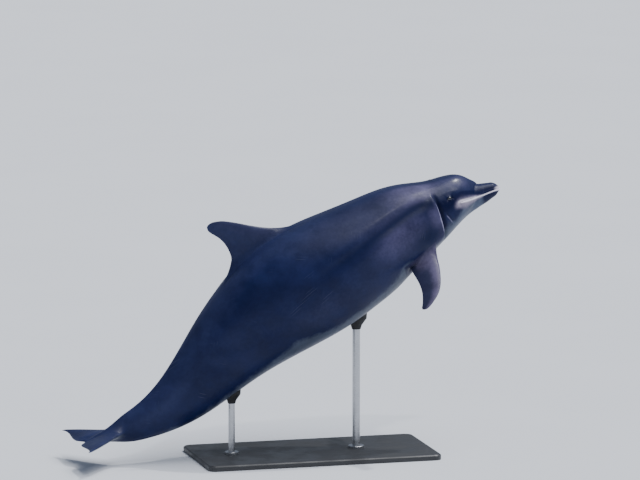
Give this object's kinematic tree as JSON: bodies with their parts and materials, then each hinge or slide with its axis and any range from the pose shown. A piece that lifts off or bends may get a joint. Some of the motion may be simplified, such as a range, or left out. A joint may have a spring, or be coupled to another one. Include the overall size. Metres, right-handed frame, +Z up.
{
  "type": "bottlenose dolphin",
  "caption": "Life-size bottlenose dolphin in a leaping pose, back arched and fins spread, held above a flat display base by upright rods.",
  "frame": {"origin": "middle of the underside of the stand's base, on the floor", "axes": "+X the way the animal heads, +Y its left, +Z up. The whole part is symmetric about the plane Y = 0."},
  "size_m": [2.379, 0.7876, 1.5144],
  "materials": {
    "dark_skin": "wet, smooth, slate grey to black",
    "grey_skin": "wet, smooth, slate grey",
    "pale_skin": "wet, smooth, pale grey",
    "eye": "polished, near black",
    "stand_base": "painted satin dark grey",
    "stand_steel": "brushed",
    "stand_pad": "matt black"
  },
  "bodies": {
    "root": {"beak": "grey_skin", "melon": "grey_skin", "lower_jaw": "pale_skin", "head": "grey_skin", "neck": "grey_skin", "eye_left": "eye", "eye_right": "eye", "chest": "dark_skin", "trunk": "dark_skin", "rump": "dark_skin", "tail_stock": "dark_skin", "tail_end": "dark_skin", "dorsal_fin": "dark_skin", "flipper_left": "grey_skin", "flipper_right": "grey_skin", "fluke_left": "dark_skin", "fluke_right": "dark_skin", "stand_base": "stand_base", "stand_rod_front": "stand_steel", "stand_rod_rear": "stand_steel", "stand_collar_front": "stand_steel", "stand_collar_rear": "stand_steel", "stand_pad_front": "stand_pad", "stand_pad_rear": "stand_pad"}
  },
  "joints": []
}
